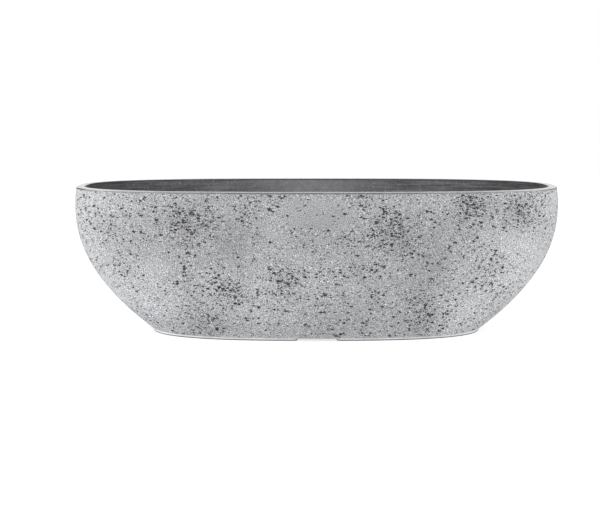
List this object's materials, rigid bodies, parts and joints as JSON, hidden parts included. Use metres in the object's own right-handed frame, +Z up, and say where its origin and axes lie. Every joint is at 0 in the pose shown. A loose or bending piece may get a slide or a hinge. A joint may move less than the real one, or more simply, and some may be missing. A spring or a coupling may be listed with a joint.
{
  "type": "oval planter",
  "caption": "Long oval bowl planter in speckled pale fibre-cement, with a dark waterproof lining, thin foot strips and lift-out drain plugs in its floor.",
  "frame": {"origin": "on the ground, under the middle of the planter", "axes": "+X along the planter's length, +Y across it towards the back, +Z up"},
  "size_m": [0.6, 0.2398, 0.18],
  "materials": {
    "fibre_cement": "matte",
    "lining_coat": "matte",
    "foot_strip": "satin",
    "drain_sleeve": "satin",
    "drain_plug": "matte"
  },
  "bodies": {
    "planter": {"planter_shell": "fibre_cement", "inner_lining": "lining_coat", "foot_strip_left": "foot_strip", "foot_strip_right": "foot_strip", "drain_sleeve_left": "drain_sleeve", "drain_sleeve_right": "drain_sleeve"},
    "drain_plug_left": {"drain_plug_left": "drain_plug"},
    "drain_plug_right": {"drain_plug_right": "drain_plug"}
  },
  "joints": [
    {"name": "drain_plug_left_lift", "type": "slide", "parent": "planter", "child": "drain_plug_left", "axis": [0, 0, 1], "range_m": [0, 0.2]},
    {"name": "drain_plug_right_lift", "type": "slide", "parent": "planter", "child": "drain_plug_right", "axis": [0, 0, 1], "range_m": [0, 0.2]}
  ]
}
